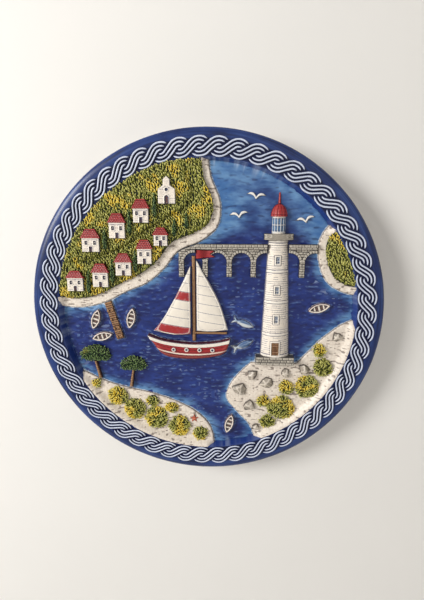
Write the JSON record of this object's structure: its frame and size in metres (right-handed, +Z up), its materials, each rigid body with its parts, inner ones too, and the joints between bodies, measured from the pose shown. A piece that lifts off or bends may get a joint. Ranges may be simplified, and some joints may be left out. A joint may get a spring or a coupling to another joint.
{
  "type": "souvenir plate",
  "caption": "Round cast wall plate with a braided border, a raised and painted harbour picture, and a hinged hanging ring on its back.",
  "frame": {"origin": "centre of the plate on the wall plane, which is the flat face of the foot ring", "axes": "+Z up as the plate hangs, +X to the right as seen from the front, +Y into the wall, so the picture faces -Y"},
  "size_m": [0.2, 0.0216, 0.2],
  "materials": {
    "blue_glaze": "deep blue paint under satin lacquer",
    "braid_paint": "white ridges with navy grooves",
    "sand_paint": "cream with brown specks",
    "leaf_paint": "stippled green and yellow",
    "cream_paint": "cream with brown wash",
    "red_paint": "red with dark wash",
    "stone_paint": "grey with dark wash",
    "wood_paint": "brown with dark wash",
    "pale_blue_paint": "pale blue",
    "steel": "zinc plated",
    "brass": "brass plated wire"
  },
  "bodies": {
    "plate": {"plate_body": "blue_glaze", "braid_strands": "braid_paint", "west_shore": "sand_paint", "west_hill": "leaf_paint", "hill_terrace": "leaf_paint", "house_walls": "cream_paint", "house_roofs": "red_paint", "chapel": "cream_paint", "cypress_trees": "leaf_paint", "far_shore": "sand_paint", "far_hill": "leaf_paint", "stone_bridge": "stone_paint", "bridge_parapet": "stone_paint", "headland": "sand_paint", "headland_rocks": "stone_paint", "headland_bushes": "leaf_paint", "lighthouse_plinth": "stone_paint", "lighthouse_tower": "cream_paint", "tower_door": "wood_paint", "tower_windows": "pale_blue_paint", "lighthouse_gallery": "stone_paint", "lantern_room": "pale_blue_paint", "lantern_dome": "red_paint", "beach": "sand_paint", "beach_bushes": "leaf_paint", "starfish": "red_paint", "pine_trunks": "wood_paint", "pine_crowns": "leaf_paint", "boat_hull": "red_paint", "boat_rail": "cream_paint", "boat_portholes": "cream_paint", "boat_spars": "wood_paint", "main_sail": "cream_paint", "jib_sail": "cream_paint", "pennant": "red_paint", "jetty_deck": "wood_paint", "jetty_posts": "wood_paint", "rowing_boats": "cream_paint", "gulls": "cream_paint", "leaping_fish": "pale_blue_paint", "hanger_strap": "steel", "hanger_screw": "steel"},
    "ring": {"hanger_ring": "brass"}
  },
  "joints": [
    {"name": "ring_swing", "type": "hinge", "parent": "plate", "child": "ring", "pos_m": [0, -0.00365, 0.04], "axis": [-1, 0, 0], "range_deg": [0, 180]}
  ]
}
